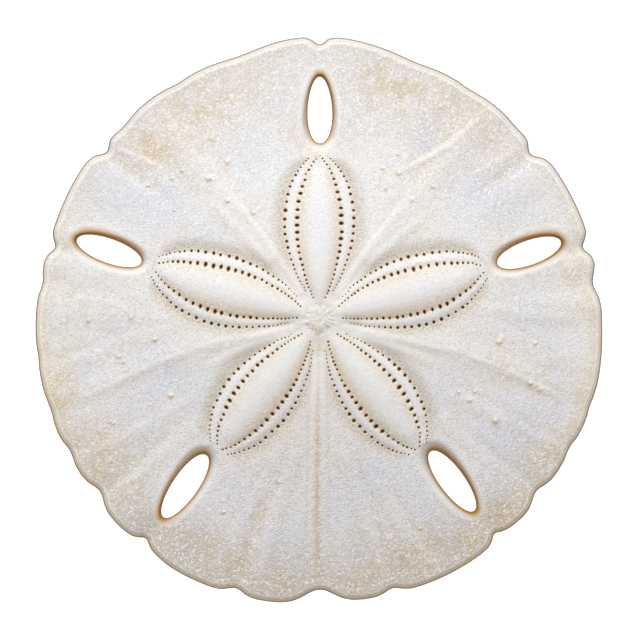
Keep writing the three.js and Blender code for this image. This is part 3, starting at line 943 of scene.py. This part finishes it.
def paint_fields(s, patchy, mottled):
    """The broad colours: cream and white calcite, cool and tan areas, a tan band along the margin, and
    painted light and shade on the dome.
    """
    cream, white = (0.855, 0.825, 0.78, 1), (0.865, 0.865, 0.885, 1)
    s.colour = s.mix(s.remap(patchy, 0.32, 0.52), cream, white)
    s.tint(s.vertex("cool"), s.remap(mottled, 0.3, 0.6, 0.7, 1.0), (0.725, 0.765, 0.895))
    s.tint(s.vertex("tan"), s.remap(mottled, 0.36, 0.6, 0.1, 0.9), (0.74, 0.59, 0.36))
    # A tan band along the margin, stronger towards the rear.
    s.tint(s.vertex("margin_tan"), s.remap(patchy, 0.35, 0.65, 0.35, 0.9), (0.78, 0.63, 0.41))
    # Painted light on the rear of the dome.
    s.tint(s.vertex("pale"), 0.35, (0.92, 0.93, 1.0))
    # Painted shade on the rear margin and over the front, with darker shaded copies of the cool and tan
    # areas.
    dimmed = s.vertex("dimmed")
    s.tint(dimmed, 0.78, (0.62, 0.575, 0.55))
    s.tint(s.math("MULTIPLY", s.vertex("cool"), dimmed), 0.5, (0.63, 0.66, 0.78))
    rear_tan_in_shade = s.math("MULTIPLY", s.vertex("tan"), s.remap(dimmed, 0.4, 0.9))
    s.tint(rear_tan_in_shade, s.remap(mottled, 0.36, 0.6, 0.2, 0.9), (0.66, 0.5, 0.27))


def paint_relief(s, mottled):
    """Painted highlight on the ridges' backs and painted shade at their feet, the petals' pale middles,
    painted shade on their sides and in hollows, the rear seam.
    """
    s.tint(s.vertex("middle"), 0.85, (0.92, 0.925, 0.945))
    # Painted shade on the petals' sides, along their inner rows.
    s.tint(s.vertex("painted_petal_shade"), 0.7, (0.77, 0.61, 0.39))
    # Painted shade at the ridges' feet and painted highlight on their backs.
    s.tint(s.vertex("painted_foot_shade"), 0.5, (0.76, 0.65, 0.5))
    s.tint(s.vertex("ridge_highlight"), 0.75, (0.92, 0.9, 0.86))
    # Painted shade in the hollows.
    s.tint(s.remap(s.vertex("painted_hollow_shade"), 0.0, 0.16), 0.4, (0.7, 0.56, 0.4))
    s.tint(s.vertex("seam"), s.remap(mottled, 0.3, 0.6, 0.45, 0.9), (0.7, 0.54, 0.36))


def paint_grain(s, rough, fine, crystals):
    """Bright and dark crystals, one colour for each cell of the finest grain."""
    speck = s.node("ShaderNodeSeparateColor", {"Color": crystals.outputs["Color"]}).outputs[0]
    s.tint(rough, s.remap(fine, 0.5, 0.72, 0.0, 0.1), (0.62, 0.57, 0.52))
    s.tint(rough, s.remap(speck, 0.3, 1.0, 0.0, 0.45), (0.95, 0.945, 0.95))
    s.tint(rough, s.remap(speck, 0.88, 0.94, 0.0, 0.7), (1.0, 1.0, 1.0))
    s.tint(rough, s.remap(speck, 0.27, 0.05, 0.0, 0.36), (0.55, 0.52, 0.5))


def paint_dirt_and_shade(s, fine, crust, grit, crystals):
    """Painted shadow on the rear side of the crown's button and soil round the crown, crusted patches,
    bumps with painted shadow at their feet, the petals' dotted halo.
    """
    # Painted shadow of the crown's button, and soil round the crown.
    s.tint(s.vertex("crown_shadow_and_soil"), s.remap(fine, 0.35, 0.6, 0.3, 1.0), (0.66, 0.52, 0.33))
    s.tint(crust, s.remap(grit, 0.3, 0.6, 0.0, 0.6), (0.66, 0.52, 0.33))
    s.tint(crust, s.remap(grit, 0.32, 0.1, 0.0, 0.8), (1.0, 0.98, 0.95))
    # Painted shadow at the bumps' feet, and their pale tops, partly painted highlight.
    s.tint(s.vertex("bump_shadow"), 0.85, (0.66, 0.44, 0.19))
    s.tint(s.vertex("pale_top_and_highlight"), 1.0, (1.0, 0.985, 0.96))
    dots = crystals.outputs["Distance"]
    halo = s.vertex("halo")
    s.tint(halo, 0.68, (0.74, 0.66, 0.57))
    s.tint(halo, s.remap(dots, 0.5, 0.22, 0.0, 0.8), (0.36, 0.29, 0.22))


def paint_edges(s):
    """The margin's pale line and its edge darkened by painted shade, and the slots' pale lips and brown
    walls with painted shade.
    """
    rim = s.vertex("rim")
    from_line = s.math("ABSOLUTE", s.math("SUBTRACT", rim, 0.95))
    s.cover(s.remap(from_line, 0.25, 0.0, 0.0, 0.6), (0.97, 0.95, 0.92))
    # Painted shade along the margin's rounded edge: a band, grey at the front and tan at the rear, then
    # a dark line at the very edge.
    edge_shade = s.mix(s.vertex("rear"), (0.66, 0.62, 0.6, 1), (0.68, 0.52, 0.34, 1))
    s.colour = s.mix(s.remap(rim, 0.3, 0.85, 0.75, 0.0), s.colour, edge_shade)
    s.cover(s.remap(rim, 0.1, 0.36, 1.0, 0.0), (0.2, 0.15, 0.11))
    from_lip = s.math("ABSOLUTE", s.math("SUBTRACT", s.vertex("wall"), 1.15))
    s.cover(s.remap(from_lip, 0.45, 0.0, 0.0, 0.5), (0.95, 0.93, 0.9))
    # The slots' walls: brown stain, with painted shade widening and darkening it on their front side
    # and at their outer end.
    slot = s.vertex("slot")
    s.cover(s.remap(slot, 0.0, 0.5, 0.0, 0.75), (0.74, 0.61, 0.44))
    s.cover(s.remap(slot, 0.4, 0.75), (0.56, 0.32, 0.11))
    s.cover(s.remap(slot, 0.68, 0.95), (0.28, 0.14, 0.045))


def paint_pits(s):
    """The mouth and the vent, darkened by painted shade, and the pores: a pale ring, a brown edge and a
    dark pit, partly painted shade.
    """
    # Painted shade in the blind mouth and vent.
    s.tint(s.vertex("opening"), 0.9, (0.3, 0.18, 0.09))
    pore = s.vertex("pore")
    s.cover(s.remap(pore, 1.9, 1.3, 0.0, 0.75), (0.93, 0.87, 0.79))
    s.cover(s.remap(pore, 1.3, 1.02), (0.55, 0.36, 0.18))
    # The pores' dark pits: brown stain deepened by painted shade.
    s.cover(s.remap(pore, 1.0, 0.62), (0.16, 0.07, 0.025))


def calcite():
    """Bleached calcite. Texture scales are in cells per metre."""
    s = Shader("bleached_calcite")
    where = s.node("ShaderNodeTexCoord").outputs["Object"]
    patchy = s.noise(where, 95, 4, 0.55)
    mottled = s.noise(where, 420, 3, 0.6)
    fine = s.noise(where, 1900, 2, 0.6)
    crystals = s.node("ShaderNodeTexVoronoi", {"Vector": where, "Scale": 4200.0})
    grit = s.node("ShaderNodeTexVoronoi", {"Vector": where, "Scale": 2400.0}).outputs["Distance"]
    crust = s.vertex("crust")
    rough = s.math("MULTIPLY", s.remap(s.vertex("lip"), 0.2, 0.9, 1.0, 0.1), s.vertex("grain"))

    paint_fields(s, patchy, mottled)
    paint_relief(s, mottled)
    paint_grain(s, rough, fine, crystals)
    paint_dirt_and_shade(s, fine, crust, grit, crystals)
    paint_edges(s)
    paint_pits(s)

    crystal_height = s.math("MULTIPLY", crystals.outputs["Distance"], -0.6)
    grain_height = s.math("ADD", crystal_height, s.math("MULTIPLY", fine, 0.8))
    crust_height = s.math("MULTIPLY", s.math("MULTIPLY", crust, grit), 1.5)
    grain_height = s.math("MULTIPLY", s.math("SUBTRACT", grain_height, crust_height), rough)
    bump = s.node("ShaderNodeBump", {"Height": grain_height, "Distance": 0.00016})
    bump.inputs["Strength"].default_value = 0.65
    shade = s.node("ShaderNodeBsdfPrincipled", {"Base Color": s.colour, "Normal": bump.outputs[0]})
    shade.inputs["Roughness"].default_value = 0.82
    shade.inputs["Specular IOR Level"].default_value = 0.3
    out = s.node("ShaderNodeOutputMaterial")
    s.tree.links.new(shade.outputs[0], out.inputs["Surface"])
    return s.material


mesh.materials.append(calcite())
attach(shell, "root")
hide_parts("shell")

# --- Floor, light and camera -----------------------------------------------------------------------

bpy.ops.mesh.primitive_plane_add(size=6)
floor = bpy.context.object
floor.name = "floor"
paper = Shader("white_paper")
sheet = paper.node("ShaderNodeBsdfPrincipled")
sheet.inputs["Base Color"].default_value = (0.6, 0.6, 0.6, 1)
sheet.inputs["Roughness"].default_value = 0.9
sheet.inputs["Specular IOR Level"].default_value = 0.0
sheet.inputs["Emission Color"].default_value = (1, 1, 1, 1)
sheet.inputs["Emission Strength"].default_value = 0.95
paper.tree.links.new(sheet.outputs[0], paper.node("ShaderNodeOutputMaterial").inputs["Surface"])
floor.data.materials.append(paper.material)

scene = bpy.context.scene
scene.view_settings.view_transform = "Standard"
world = bpy.data.worlds.new("studio")
world.use_nodes = True
world.node_tree.nodes["Background"].inputs["Color"].default_value = (1.0, 0.94, 0.87, 1)
world.node_tree.nodes["Background"].inputs["Strength"].default_value = 0.45
scene.world = world

lamp = bpy.data.lights.new("window", "AREA")
lamp.shape, lamp.size, lamp.size_y = "RECTANGLE", 0.5, 0.35
lamp.energy, lamp.color = 3.8, (0.965, 0.985, 1.0)
window = bpy.data.objects.new("window", lamp)
window.location = (-0.06, 0.5, 0.5)
window.rotation_euler = (-window.location).to_track_quat("-Z", "Y").to_euler()
scene.collection.objects.link(window)

camera_data = bpy.data.cameras.new("camera")
camera_data.lens, camera_data.sensor_width = 318.4, 36
camera_data.clip_end = 10
camera = bpy.data.objects.new("camera", camera_data)
camera.location = (0.00008, 0, 0.9013)
scene.collection.objects.link(camera)
scene.camera = camera
